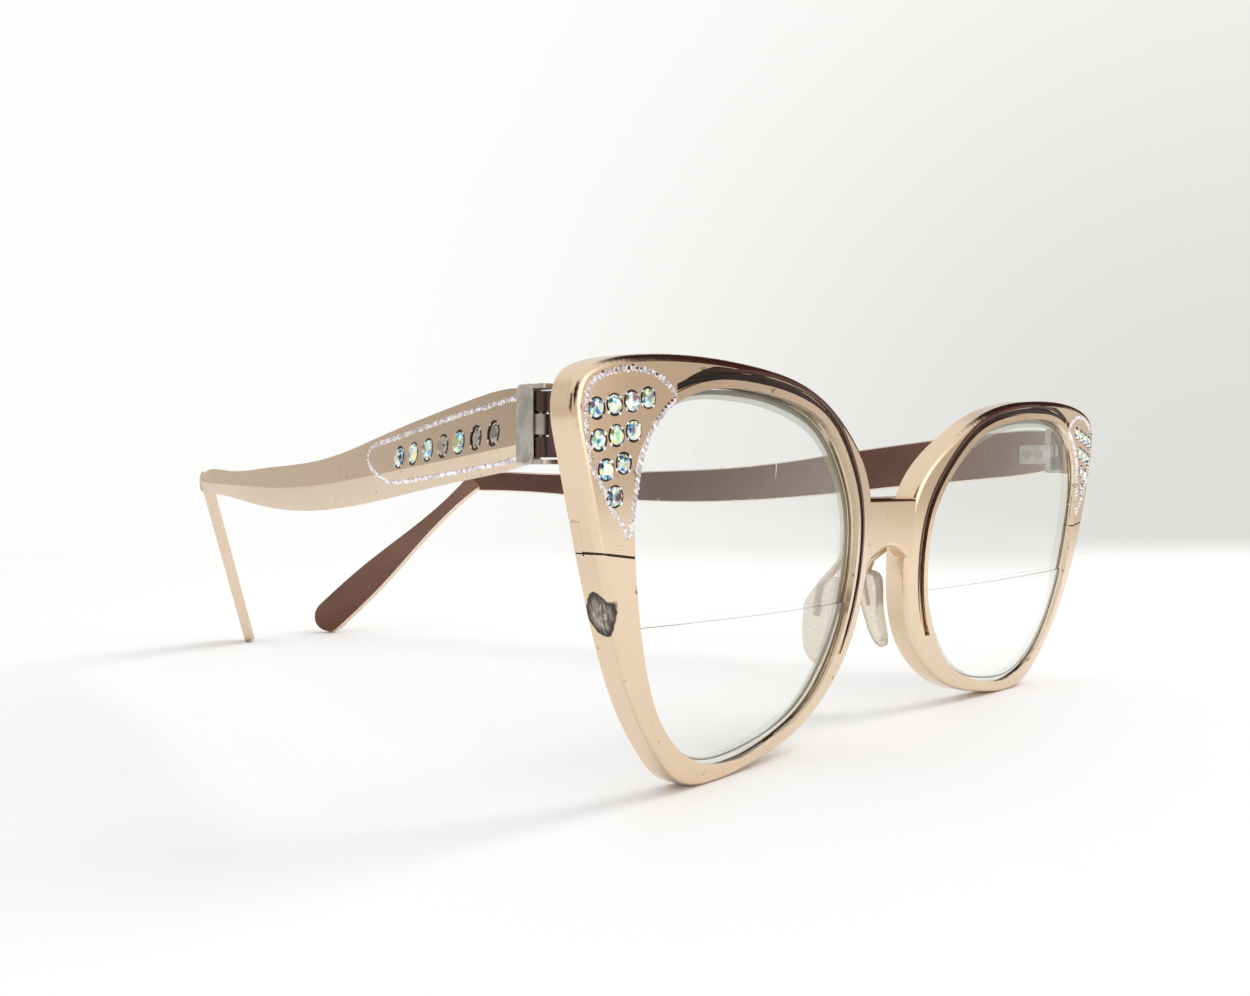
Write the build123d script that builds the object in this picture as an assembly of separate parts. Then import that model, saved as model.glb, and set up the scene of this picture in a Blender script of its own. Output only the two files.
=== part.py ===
"""Cat eye eyeglasses of gold anodised aluminium with bifocal lenses and stone-set corners, in millimetres.

The pair stands on a table on its two eyewires and its two temple tips. +Z is up, the front faces -Y and
the wearer's left is +X. Each side is modelled once on the +X side, with y = 0 near the front, and mirrored for
the wearer's right; the whole is then moved so that the origin is on the table under its middle.
"""
import os
from math import asin, atan2, cos, degrees, hypot, radians, sin, sqrt

from build123d import *

os.makedirs("parts", exist_ok=True)

# ---- front: lenses, eyewires and bridge ----
lens_width = 44.1            # eye size, the boxed width of one lens opening
lens_height = 37.3           # boxed height of one lens opening
bridge_gap = 18.6            # shortest distance between the two lens openings
rim_bottom_height = 1.8      # eyewire height under the lens, which is also what it stands on
front_radius = 192.0         # each eyewire and lens follows a sphere of this radius
front_thickness = 2.8        # eyewire, front to back
curve_steps = 48             # points taken from a curve to move it outward
front_top_y = -2.0           # how far the brow leans forward of the origin
face_apex = (9.45, 0.4)      # each sphere's foremost point, out from the lens's middle and above its top
rim_round = 0.75             # rounding of the eyewire's outer front edge
lip_width = 0.8              # raised lip over and beside the lens, on the bridge's side
lip_channel = (0.8, 0.45)    # width and depth of the channel outside the lip
lip_end = (0.76, -0.55)      # where it ends out along the brow and down by the nose, in half widths and heights
bridge_top = 7.75            # the bridge's top edge, above the lenses' middle
bridge_arch = (1.65, -1.05)  # its underside at its middle and at its ends, above the lenses' middle
bridge_lap = 3.1             # how far it ends short of the lens openings
bridge_front = 1.6           # y of its front face at its top edge
bridge_lean = 4.0            # it leans back this much going down
bridge_thickness = 2.4
bridge_round = 0.6

# ---- lenses ----
lens_thickness = 1.8
lens_front_set = 0.75        # lens edge behind the lip's front
lens_groove = 0.6            # how far the lens edge goes into the eyewire
lens_clearance = 0.05
bifocal_drop = 3.9           # the straight ledge of the reading segment, below the lens's middle
bifocal_tilt = 1.1           # and it runs up toward the temple by this angle
bifocal_ledge = 0.3          # how far that segment stands proud

# ---- the split in each eyewire that lets the lens in ----
split_rise = 3.35            # above the lens's middle
split_gap = 0.18
split_lap = 3.0              # the lower end has a tongue of this height behind the upper one
split_tongue = 0.8           # that tongue's thickness
eyewire_screw = (1.2, 2.0, 2.1)     # thread and head diameter, length
eyewire_screw_place = (2.7, 1.5)    # out from the lens and up from the split

# ---- stones ----
brow_stone = 1.9             # diameter of a brow stone
brow_stone_counts = (4, 3, 2, 1)    # in each row, from the top
brow_stone_rows = ((4.9, 2.7, 0.40), (4.6, 5.4, 0.45), (3.6, 7.9, 0.60), (2.4, 10.2, 0.0))
brow_stone_pitch = 2.1       # rows: the outermost's place out from and below the lens's corner, rise
temple_stone = 2.3
temple_stone_count = 7
temple_stone_pitch = 3.55
temple_stone_first = (7.15, -0.6)   # distance behind the hinge pin and above its middle
temple_stone_fall = 0.095    # drop of the row per mm
temple_stone_tilt = 6.0      # the face above the ridge leans in by this angle
seat_clearance = 0.06
crown_share = 0.2            # height of a stone above its seat, of its diameter
pavilion_share = 0.42        # depth of a stone's point, of its diameter

# ---- hinge ----
hinge_out = 5.7              # the hinge pin, out from the lens
hinge_down = 4.0             # its middle, below the lens's top
hinge_y = 4.6
knuckle_radius = 1.15
knuckle_height = 1.77
knuckle_gap = 0.2
pin_diameter = 1.0
pin_clearance = 0.04
pin_head = (1.6, 0.4)        # diameter and height of the hinge screw's head
leaf_thickness = 0.8
leaf_reach = 5.2             # front leaf's length inboard of the pin
leaf_screw = (1.0, 1.8, 2.8) # thread and head diameter, length
leaf_screw_places = ((-4.2, 1.7), (-4.2, -1.7))     # from the pin, inboard and up
fold_at_rest = 16.3          # both temples stand folded inward by this angle
hinge_stop_gap = 0.2         # between the front's back and the temple's end when open

# ---- temples ----
temple_start = 2.1           # where the anodised temple starts behind the pin
bar_inner = 0.75             # inner face, inboard of the pin
bar_outer = 1.05             # ridge of the outer face, outboard of the pin
bar_edge = 0.55              # outer face at its top and bottom edges
bar_stations = (             # distance behind the pin; top, ridge and bottom above the pin's middle
    (temple_start, 3.2, -1.7, -3.4), (9.0, 3.1, -2.3, -4.5), (18.0, 2.0, -3.1, -5.4), (28.5, 0.6, -4.0, -6.6),
    (43.0, -1.6, -5.2, -8.2), (60.0, -3.2, -6.2, -9.2), (81.0, -4.0, -6.3, -8.7), (96.0, -4.0, -6.1, -7.8),
    (105.5, -4.5, -5.9, -7.7))
bend_place = (106.8, -5.9)   # distance behind the pin and above its middle
ear_reach = (24.0, 13.4)     # how far the ear end runs on back and inward before it touches the table
ear_widths = ((0.0, 3.2), (0.45, 3.6), (0.72, 5.6), (0.9, 6.0))   # along the ear end, and its width there
ear_thickness = 1.7

# ---- temple hinge block: bare metal, with a lug above and below the knuckles ----
block_front = 2.1            # its front end, ahead of the pin
block_height = 6.9
block_proud = 0.15
block_slot = 6.1
block_tongue = (5.8, 0.6, 3.0)      # length behind the pin, thickness and height of its tongue
block_screw = (0.9, 1.5, 1.9)
block_screw_places = (3.1, 4.9)     # behind the pin

# ---- nose pads, one piece for each side of the nose ----
pad_thickness = 1.3
pad_place = (2.4, 2.25, 6.85)       # inward of the lens, behind the bracket's foot, below the lens's middle
pad_splay = 24.0             # each pad runs outward as it goes back
pad_flare = 20.0             # and outward as it goes down
pad_outline = ((0.3, 5.2), (1.6, 5.0), (3.2, 3.2), (3.9, 0.6), (3.5, -2.6), (2.2, -5.2), (1.0, -5.6), (0.3, -3.6),
               (0.0, 1.0))
bracket_wire = 0.9
bracket_foot = (2.6, 0.5)    # diameter and thickness of the foot on the eyewire's back
bracket_place = (2.1, 2.15)  # that foot, inward of the lens and above its middle
bracket_lift = 0.006         # its flat underside clears the dished back by this
bracket_knee = (2.2, 2.25, 2.3)     # the wire's bend, inward of, behind and below its start on the foot
pad_rivet = (1.0, 1.8, 0.4, 1.4)    # shank and head diameter, head height, depth into the eyewire

past = 60.0                  # length of a cutting shape, past whatever it cuts

# places that follow from the sizes
lens_near, lens_far = bridge_gap / 2, bridge_gap / 2 + lens_width
lens_x = (lens_near + lens_far) / 2
lens_z = rim_bottom_height + lens_height / 2
lens_top = rim_bottom_height + lens_height
face_centre = (lens_x + face_apex[0], front_top_y + front_radius, lens_top + face_apex[1])
hinge_x, hinge_z = lens_far + hinge_out, lens_top - hinge_down
split_height = lens_z + split_rise
split_x = lens_far + 2.2
split_tilt = 7.0
endpiece_back = hinge_y - block_front - hinge_stop_gap
endpiece_inner = hinge_x - leaf_reach - 0.3
stack_height = 3 * knuckle_height + 2 * knuckle_gap
knuckle_room = knuckle_radius + 0.15
temple_stone_face = (bar_outer + bar_edge) / 2
hinge_spot = Pos(hinge_x, hinge_y, hinge_z)


def face_y(x, z, depth=0.0):
    """How far back the front's face lies at x and z, depth mm under its surface."""
    across, up = x - face_centre[0], z - face_centre[2]
    return face_centre[1] - sqrt((front_radius - depth) ** 2 - across ** 2 - up ** 2)


def layer(outer, inner):
    """The space between two depths under the face: negative depths stand proud of it."""
    shell = Sphere(front_radius - outer) - Sphere(front_radius - inner)
    return Pos(*face_centre) * shell


def upright(points, grow=0.0):
    """A flat face in the XZ plane inside a smooth closed curve through x, z points, grown outward if asked."""
    curve = Edge.make_spline([Vector(x, 0, z) for x, z in points], periodic=True)
    if grow:
        steps = [i / curve_steps for i in range(curve_steps)]
        moved = [curve.position_at(t) - Vector(0, 1, 0).cross(curve.tangent_at(t)) * -grow for t in steps]
        curve = Edge.make_spline(moved, periodic=True)
    return Face(Wire([curve.trim(0, 0.5), curve.trim(0.5, 1)]))


def through(face):
    """The face pushed right through the front, from before it to behind it."""
    return extrude(face, amount=past / 2, dir=(0, 1, 0), both=True)


def above(height):
    """Everything above a height."""
    return Pos(lens_x, 0, height + past) * Box(4 * past, 2 * past, 2 * past)


def disc(diameter, height, top=0.0):
    """A cylinder along Z whose upper face is at the given height."""
    return Pos(0, 0, top - height / 2) * Cylinder(diameter / 2, height)


def facing(x, z, depth=0.0):
    """The place on the front's face at x and z, with local +Z pointing out of the face."""
    y = face_y(x, z, depth)
    out = Vector(x - face_centre[0], y - face_centre[1], z - face_centre[2])
    return Plane(origin=(x, y, z), x_dir=Vector(0, 0, 1).cross(out), z_dir=out).location


# Shape of the lens opening, as shares of its half width and half height from the lens's middle.
opening_shape = ((1.0, 0.43), (0.91, 0.78), (0.63, 0.96), (0.20, 1.0), (-0.22, 0.95), (-0.55, 0.83),
                 (-0.80, 0.60), (-0.96, 0.33), (-1.0, 0.0), (-0.92, -0.40), (-0.66, -0.77),
                 (-0.30, -0.94), (0.20, -1.0), (0.51, -0.88), (0.74, -0.62), (0.88, -0.27), (0.97, 0.15))
opening = [(lens_x + a * lens_width / 2, lens_z + b * lens_height / 2) for a, b in opening_shape]

# Its outer edge, from the bridge down, round and up to the upswept corner and back over the brow.
outline_shape = (
    (-1.204, 0.169), (-1.177, -0.196), (-1.082, -0.496), (-0.864, -0.764), (-0.488, -0.984),
    (-0.179, -1.056), (0.211, -1.099), (0.483, -1.043), (0.66, -0.88), (0.838, -0.64), (0.982, -0.362),
    (1.178, 0.196), (1.308, 0.684), (1.335, 0.905), (1.3, 1.008), (1.182, 1.082), (0.986, 1.124),
    (0.574, 1.15), (0.156, 1.134), (-0.206, 1.088), (-0.533, 0.984), (-0.791, 0.839), (-1.154, 0.453))
outline = [(lens_x + a * lens_width / 2, lens_z + b * lens_height / 2) for a, b in outline_shape]


def eyewire():
    """One eyewire with its lip, its lens groove and its endpiece."""
    plate = through(upright(outline)) & above(0) & layer(0, front_thickness)
    on_face = [e for e in plate.edges() if abs((e.center() - Vector(*face_centre)).length - front_radius) < 0.3]
    plate = fillet(on_face, rim_round)
    pad = Pos(endpiece_inner + past / 2, endpiece_back / 2, hinge_z) * Box(past, endpiece_back, block_height + 0.3)
    plate += pad & through(upright(outline, -rim_round))
    plate -= through(upright(opening))
    width, depth = lip_channel
    channel = through(upright(opening, lip_width + width) - upright(opening, lip_width)) & layer(-1, depth)
    end_x, end_z = lens_x + lip_end[0] * lens_width / 2, lens_z + lip_end[1] * lens_height / 2
    plate -= channel & above(end_z) & (Pos(end_x - past / 2, 0, lens_z) * Box(past, past, past))
    groove = through(upright(opening, lens_groove + lens_clearance))
    return plate - (groove & layer(lens_front_set - lens_clearance, lens_front_set + lens_thickness + lens_clearance))


def lens():
    """A lens with a straight ledge across it, below which it is thicker."""
    blank = through(upright(opening, lens_groove))
    body = blank & layer(lens_front_set, lens_front_set + lens_thickness)
    far_part = Pos(lens_x, 0, lens_z - bifocal_drop) * Rot(0, -bifocal_tilt, 0) * Pos(0, 0, past)
    segment = through(upright(opening, -lens_clearance)) - far_part * Box(2 * past, 2 * past, 2 * past)
    return body + (segment & layer(lens_front_set - bifocal_ledge, lens_front_set + lens_thickness / 2))


def split():
    """The lapped cut through the eyewire's outer side: in from the front, up behind it and out at the back."""
    x, z = split_x, split_height
    step_y = face_y(x, z) + front_thickness - split_tongue
    front_cut = Pos(x, step_y - past / 2, z) * Rot(0, -split_tilt, 0) * Box(past / 4, past + split_gap, split_gap)
    rise = Pos(x, step_y, z + split_lap / 2) * Box(past / 4, split_gap, split_lap + split_gap)
    back_cut = Pos(x, step_y + past / 2, z + split_lap) * Box(past / 4, past + split_gap, split_gap)
    return front_cut + rise + back_cut


def screw_hole(thread, head, length):
    """The space a countersunk screw takes up along Z, the top of its head at 0."""
    sink = (head - thread) / 2
    return disc(thread, length) + Pos(0, 0, -sink / 2) * Cone(thread / 2, head / 2, sink)


def countersunk(thread, head, length):
    """A countersunk screw with a slotted head."""
    return screw_hole(thread, head, length) - Box(head, 0.22, 0.3)


def stone(diameter):
    """An eight-sided foiled stone: its table faces +Z and its girdle lies at 0."""
    girdle = RegularPolygon(diameter / 2, 8)
    table = Pos(0, 0, crown_share * diameter) * RegularPolygon(diameter * 0.3, 8)
    point = Vertex(0, 0, -pavilion_share * diameter)
    return loft([girdle.face(), table.face()]) + loft([girdle.face(), point])


def stone_seat(diameter):
    """The conical hole drilled for a stone, open at the top."""
    wide = diameter / 2 + seat_clearance
    deep = pavilion_share * diameter + 2 * seat_clearance
    return Pos(0, 0, 0.5 - seat_clearance) * Cylinder(wide, 1.0) + Pos(0, 0, -deep / 2 - seat_clearance) * Cone(
        seat_clearance, wide, deep)


def rod(start, end, diameter):
    """A round-ended rod between two points."""
    a, b = Vector(*start), Vector(*end)
    along = Plane(origin=a, z_dir=b - a).location * Pos(0, 0, (b - a).length / 2)
    return along * Cylinder(diameter / 2, (b - a).length) + Pos(*a) * Sphere(diameter / 2) + Pos(*b) * Sphere(
        diameter / 2)


def knuckle(level):
    """One hinge knuckle on the pin's line: level 1 is the top one, 0 the middle and -1 the bottom."""
    return Pos(0, 0, level * (knuckle_height + knuckle_gap)) * Cylinder(knuckle_radius, knuckle_height)


def web(level, reach):
    """What joins a knuckle to its leaf or block, along Y."""
    return Pos(0, reach / 2, level * (knuckle_height + knuckle_gap)) * Box(1.1, abs(reach), knuckle_height)


def front_leaf():
    """The front's half of the hinge: a plate on the endpiece with the top and bottom knuckles."""
    plate_y = endpiece_back - hinge_y + leaf_thickness / 2
    plate = Pos((0.6 - leaf_reach) / 2, plate_y, 0) * Box(leaf_reach + 0.6, leaf_thickness, stack_height)
    leaf = plate
    for level in (1, -1):
        leaf += knuckle(level) + web(level, plate_y)
    leaf -= disc(pin_diameter + 2 * pin_clearance, past, past / 2)
    leaf -= disc(pin_head[0] + 2 * pin_clearance, past, past + stack_height / 2 - pin_head[1])
    return hinge_spot * leaf


def hinge_screw():
    body = disc(pin_diameter, stack_height, stack_height / 2) + disc(*pin_head, stack_height / 2)
    slot = Pos(0, 0, stack_height / 2) * Box(pin_head[0] + 0.2, 0.25, 0.4)
    return hinge_spot * (body - slot)


def temple_block():
    """The temple's half of the hinge: a block lugged above and below, the middle knuckle and a tongue."""
    long = block_front + temple_start
    outer = bar_outer + block_proud
    body = Pos((outer - bar_inner) / 2, long / 2 - block_front, 0) * Box(outer + bar_inner, long, block_height)
    body = fillet(body.edges().filter_by(Axis.Z).group_by(Axis.X)[-1], 0.4)
    body -= Pos(0, knuckle_room - past / 2, 0) * Box(past, past, block_slot)
    length, thick, high = block_tongue
    body += Pos(-bar_inner - thick / 2, (knuckle_room + length) / 2, -0.6) * Box(thick, length - knuckle_room, high)
    body += knuckle(0) + web(0, knuckle_room + 0.3)
    return hinge_spot * (body - disc(pin_diameter + 2 * pin_clearance, past, past / 2))


def bar_section(station):
    s, top, ridge, bottom = station
    edge = 0.25
    corners = ((-bar_inner, top - edge), (bar_edge, top), (bar_outer, ridge), (bar_edge, bottom),
               (-bar_inner, bottom + edge))
    return Face(Wire(Polyline([(hinge_x + o, hinge_y + s, hinge_z + z) for o, z in corners], close=True).edges()))


def temple():
    """The temple: a ridged bar that drops and narrows to the ear, and a flat ear end bent down and inward."""
    bar = loft([bar_section(s) for s in bar_stations])
    middle = (bar_outer - bar_inner) / 2
    thick = bar_edge + bar_inner
    s, z = bend_place[0], hinge_z + bend_place[1]
    bend = Pos(hinge_x + (bar_edge - bar_inner) / 2, hinge_y + s, z) * Rot(0, 90, 0) * Cylinder(
        ear_widths[0][1] / 2, thick)
    back, inward = ear_reach
    drop = z
    for _ in range(3):
        along = Vector(-inward, back, -drop).normalized()
        flat = (Vector(1, 0, 0) - along * along.X).normalized()
        end_radius = ear_widths[-1][1] / 2
        drop = z - end_radius * sqrt(1 - flat.Z ** 2) - ear_thickness / 2 * abs(flat.Z)
    run = Vector(-inward, back, -drop)
    length = run.length
    side = [(share * length, width / 2) for share, width in ear_widths]
    lower = [(u, -w) for u, w in side]
    tip = ThreePointArc((length, end_radius), (length + end_radius, 0), (length, -end_radius))
    shape = Spline(side + [(length, end_radius)]) + tip + Spline([(length, -end_radius)] + lower[::-1]) + Line(
        lower[0], side[0])
    plate = extrude(Face(Wire(shape.edges())), amount=ear_thickness / 2, both=True)
    start = Vector(hinge_x + (bar_edge - bar_inner) / 2, hinge_y + s, z)
    ear = Plane(origin=start, x_dir=run.normalized(), z_dir=flat).location * plate
    return bar + bend + ear


def temple_stone_places():
    s, z = temple_stone_first[0], hinge_z + temple_stone_first[1]
    for i in range(temple_stone_count):
        along = s + i * temple_stone_pitch
        yield Pos(hinge_x + temple_stone_face, hinge_y + along, z - i * temple_stone_pitch * temple_stone_fall) * Rot(
            0, 90 - temple_stone_tilt, 0)


def brow_stone_places():
    for count, (out, down, rise) in zip(brow_stone_counts, brow_stone_rows):
        for i in range(count):
            yield facing(lens_far + out - i * brow_stone_pitch, lens_top - down + i * rise)


def nose_pad_frame():
    inward, back, down = pad_place
    spot = Pos(lens_near - inward, bracket_spot.position.Y + back, lens_z - down)
    return spot * Rot(0, -pad_flare, 0) * Rot(0, 0, -pad_splay)


def nose_pad():
    face = Face(Wire([Edge.make_spline([Vector(0, q, z) for q, z in pad_outline], periodic=True)]))
    plate = extrude(face, amount=pad_thickness / 2, dir=(1, 0, 0), both=True)
    return nose_pad_frame() * fillet(plate.edges(), 0.4)


def pad_bracket():
    """A wire arm from a foot on the eyewire's back into the pad."""
    shank, head, head_height, depth = pad_rivet
    diameter, thick = bracket_foot
    foot = bracket_spot * disc(diameter, thick, thick)
    start = (bracket_spot * Pos(0, 0, thick)).position
    top = (nose_pad_frame() * Pos(0, 2.4, 4.0)).position
    end = (nose_pad_frame() * Pos(0, 2.4, 0.5)).position
    inward, back, down = bracket_knee
    knee = start + Vector(-inward, back, -down)
    arm = rod(start, knee, bracket_wire) + rod(knee, top, bracket_wire)
    arm -= bracket_spot * disc(head, past, past + thick)
    return foot + arm + rod(top, end, bracket_wire) - bracket_spot * disc(shank, past, past / 2)


def rivet():
    shank, head, head_height, depth = pad_rivet
    thick = bracket_foot[1]
    body = disc(shank, depth + thick, thick) + disc(head, head_height, thick + head_height)
    return bracket_spot * body


def bridge():
    """The bridge between the eyewires, arched under, its long edges rounded."""
    middle, end = (lens_z + up for up in bridge_arch)
    top_z = lens_z + bridge_top
    half = lens_near - bridge_lap
    corners = [(-half, end), (-half, top_z), (half, top_z), (half, end)]
    top = Polyline([(x, 0, z) for x, z in corners])
    arch = ThreePointArc((-half, 0, end), (0, 0, middle), (half, 0, end))
    body = extrude(Face(Wire([*top.edges(), *arch.edges()])), amount=bridge_thickness, dir=(0, 1, 0))
    long_edges = [e for e in body.edges() if e.length > 1.9 * half]
    body = fillet(long_edges, bridge_round)
    return Pos(0, bridge_front, top_z) * Rot(bridge_lean, 0, 0) * Pos(0, 0, -top_z) * body


def front_side():
    """The front's +X side with its holes and stone seats."""
    side = eyewire() - split()
    for place in leaf_screws:
        side -= place * screw_hole(*leaf_screw)
    side -= eyewire_screw_spot * screw_hole(*eyewire_screw)
    side -= bracket_spot * disc(pad_rivet[0], pad_rivet[3])
    for place in brow_stone_places():
        side -= place * stone_seat(brow_stone)
    return side


def front_frame():
    side = front_side()
    return (side + bridge()) + mirror(side, about=Plane.YZ)


def whole_temple():
    body = temple()
    for place in temple_stone_places():
        body -= place * stone_seat(temple_stone)
    for place in block_screws:
        body -= place * screw_hole(*block_screw)
    return body


screw_x, screw_z = eyewire_screw_place
eyewire_screw_spot = facing(lens_far + screw_x, split_height + screw_z, front_thickness) * Rot(180, 0, 0)
foot_in, foot_up = bracket_place
bracket_spot = facing(lens_near - foot_in, lens_z + foot_up, front_thickness + bracket_lift) * Rot(180, 0, 0)
leaf_screws = [Pos(hinge_x + i, endpiece_back + leaf_thickness, hinge_z + up) * Rot(-90, 0, 0)
               for i, up in leaf_screw_places]
block_screws = [Pos(hinge_x - bar_inner - block_tongue[1], hinge_y + s, hinge_z - 0.6) * Rot(0, -90, 0)
                for s in block_screw_places]
folded = Pos(hinge_x, hinge_y, hinge_z) * Rot(0, 0, fold_at_rest) * Pos(-hinge_x, -hinge_y, -hinge_z)

leaf = front_leaf()
for place in leaf_screws:
    leaf -= place * screw_hole(*leaf_screw)
block = temple_block()
for place in block_screws:
    block -= place * screw_hole(*block_screw)
pad = nose_pad()
bracket = pad_bracket()
pad -= bracket

# every piece of the +X side; the names end in the wearer's side
front_pieces = {
    "lens": lens(),
    "nose_pad": pad,
    "nose_pad_bracket": bracket,
    "pad_rivet": rivet(),
    "front_hinge_leaf": leaf,
    "hinge_leaf_screws": Compound([place * countersunk(*leaf_screw) for place in leaf_screws]),
    "hinge_screw": hinge_screw(),
    "eyewire_screw": eyewire_screw_spot * countersunk(*eyewire_screw),
    "brow_stones": Compound([place * stone(brow_stone) for place in brow_stone_places()]),
}
temple_pieces = {
    "temple": whole_temple(),
    "temple_hinge_block": block,
    "temple_block_screws": Compound([place * countersunk(*block_screw) for place in block_screws]),
    "temple_stones": Compound([place * stone(temple_stone) for place in temple_stone_places()]),
}
pieces = {"front_frame": front_frame()}
for name, shape in (front_pieces | {name: folded * shape for name, shape in temple_pieces.items()}).items():
    pieces[f"{name}_left"] = shape
    pieces[f"{name}_right"] = mirror(shape, about=Plane.YZ)

# the origin lies under the middle of the whole pair
boxes = [shape.bounding_box() for shape in pieces.values()]
middle_y = (min(box.min.Y for box in boxes) + max(box.max.Y for box in boxes)) / 2
for name, shape in pieces.items():
    export_step(Pos(0, -middle_y, 0) * shape, f"parts/{name}.step")
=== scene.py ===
"""Looks for the cat eye eyeglasses: worn gold anodised aluminium, clear bifocal lenses and foiled stones."""
import math
import random

import bmesh
import bpy
from mathutils import Matrix, Vector
from mathutils.bvhtree import BVHTree


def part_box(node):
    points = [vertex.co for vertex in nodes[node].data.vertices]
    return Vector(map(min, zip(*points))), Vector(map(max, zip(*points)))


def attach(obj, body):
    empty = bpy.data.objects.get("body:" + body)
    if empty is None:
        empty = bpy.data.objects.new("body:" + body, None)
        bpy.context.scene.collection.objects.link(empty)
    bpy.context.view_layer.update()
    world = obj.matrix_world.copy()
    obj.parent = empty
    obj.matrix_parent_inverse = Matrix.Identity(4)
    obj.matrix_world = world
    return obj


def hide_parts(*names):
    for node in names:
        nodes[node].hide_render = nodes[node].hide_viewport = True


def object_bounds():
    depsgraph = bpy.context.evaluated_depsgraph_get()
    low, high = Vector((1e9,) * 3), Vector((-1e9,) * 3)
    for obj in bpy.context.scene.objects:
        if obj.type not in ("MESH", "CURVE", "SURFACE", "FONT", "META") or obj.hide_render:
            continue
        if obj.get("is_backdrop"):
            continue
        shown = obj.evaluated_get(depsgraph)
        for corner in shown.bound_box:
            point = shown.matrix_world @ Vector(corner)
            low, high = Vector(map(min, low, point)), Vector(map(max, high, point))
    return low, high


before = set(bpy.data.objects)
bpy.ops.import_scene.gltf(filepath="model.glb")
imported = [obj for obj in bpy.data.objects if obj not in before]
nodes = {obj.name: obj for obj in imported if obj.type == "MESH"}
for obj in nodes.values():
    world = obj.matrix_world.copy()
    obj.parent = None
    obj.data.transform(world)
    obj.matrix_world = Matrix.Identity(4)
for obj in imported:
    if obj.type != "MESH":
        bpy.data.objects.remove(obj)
cad_low, cad_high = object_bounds()


# ------------------------------------------------------------------ studio
# A pale table in an even white studio, with one soft lamp high on the wearer's left. Polished metal also sees
# a few darker and brighter places round the room. The camera stands a little above the table.
scene = bpy.context.scene
scene.view_settings.view_transform = "Standard"


def feed(tree, socket, value):
    """Links a socket to another one, or sets it to a number, a vector or a colour."""
    if isinstance(value, bpy.types.NodeSocket):
        tree.links.new(value, socket)
    elif socket.type == "RGBA":
        socket.default_value = (*value, 1.0)
    else:
        socket.default_value = value


def add_node(tree, kind, inputs=None, **settings):
    """A new node with its settings made and its inputs fed."""
    node = tree.nodes.new(kind)
    for name, value in settings.items():
        setattr(node, name, value)
    for name, value in (inputs or {}).items():
        feed(tree, node.inputs[name], value)
    return node


def maths(tree, operation, a, b=0.0, clamp=False):
    """The result of one maths node."""
    return add_node(tree, "ShaderNodeMath", {0: a, 1: b}, operation=operation, use_clamp=clamp).outputs[0]


def vector_maths(tree, operation, a, b=(0, 0, 0)):
    """The outputs of one vector maths node."""
    return add_node(tree, "ShaderNodeVectorMath", {0: a, 1: b}, operation=operation).outputs


def graded(tree, value, low, high, curve="LINEAR"):
    """0 where a value is at low and 1 where it is at high, graded between."""
    inputs = {"Value": value, "From Min": low, "From Max": high}
    return add_node(tree, "ShaderNodeMapRange", inputs, interpolation_type=curve).outputs[0]


def mix_colour(tree, factor, a, b):
    """Two colours mixed, from a at 0 to b at 1."""
    return add_node(tree, "ShaderNodeMix", {0: factor, 6: a, 7: b}, data_type="RGBA").outputs[2]


def on_piece(tree):
    """Where on its own piece each spot lies."""
    return add_node(tree, "ShaderNodeTexCoord").outputs["Object"]


def new_group(name, inputs, outputs):
    """A node group with its named sockets, and its two end nodes."""
    group = bpy.data.node_groups.new(name, "ShaderNodeTree")
    for in_out, sockets in (("INPUT", inputs), ("OUTPUT", outputs)):
        for socket, kind in sockets.items():
            group.interface.new_socket(socket, in_out=in_out, socket_type=f"NodeSocket{kind}")
    return group, group.nodes.new("NodeGroupInput"), group.nodes.new("NodeGroupOutput")


def new_material(name, values):
    """A material of one Principled shader with these values, its node tree and that shader."""
    material = bpy.data.materials.new(name)
    material.use_nodes = True
    tree = material.node_tree
    tree.nodes.clear()
    shader = add_node(tree, "ShaderNodeBsdfPrincipled", values)
    add_node(tree, "ShaderNodeOutputMaterial", {"Surface": shader.outputs[0]})
    return material, tree, shader


def let_through(tree, shader, share):
    """Lets a share of the rays pass straight through a material."""
    gone = add_node(tree, "ShaderNodeBsdfTransparent")
    blend = add_node(tree, "ShaderNodeMixShader", {0: share, 1: shader.outputs[0], 2: gone.outputs[0]})
    feed(tree, tree.nodes["Material Output"].inputs["Surface"], blend.outputs[0])


def zone_group():
    """A soft round patch of the studio: 1 towards Centre, falling to 0 between two angles from it."""
    group, start, end = new_group("studio zone", {"Centre": "Vector", "Inner": "Float", "Outer": "Float"},
                                  {"Mask": "Float"})
    way = add_node(group, "ShaderNodeTexCoord").outputs["Generated"]
    alike = vector_maths(group, "DOT_PRODUCT", way, start.outputs["Centre"])["Value"]
    angle = maths(group, "ARCCOSINE", maths(group, "MINIMUM", alike, 0.99999))
    inputs = {"Value": angle, "From Min": start.outputs["Inner"], "From Max": start.outputs["Outer"],
              "To Min": 1.0, "To Max": 0.0}
    fall = add_node(group, "ShaderNodeMapRange", inputs, interpolation_type="SMOOTHSTEP")
    feed(group, end.inputs["Mask"], fall.outputs[0])
    return group


studio_zone = zone_group()


def zone_mask(tree, centre, inner, outer):
    """One zone of the studio, with its angles in degrees."""
    inputs = {"Centre": Vector(centre).normalized(), "Inner": math.radians(inner),
              "Outer": math.radians(outer)}
    return add_node(tree, "ShaderNodeGroup", inputs, node_tree=studio_zone).outputs["Mask"]


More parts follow.
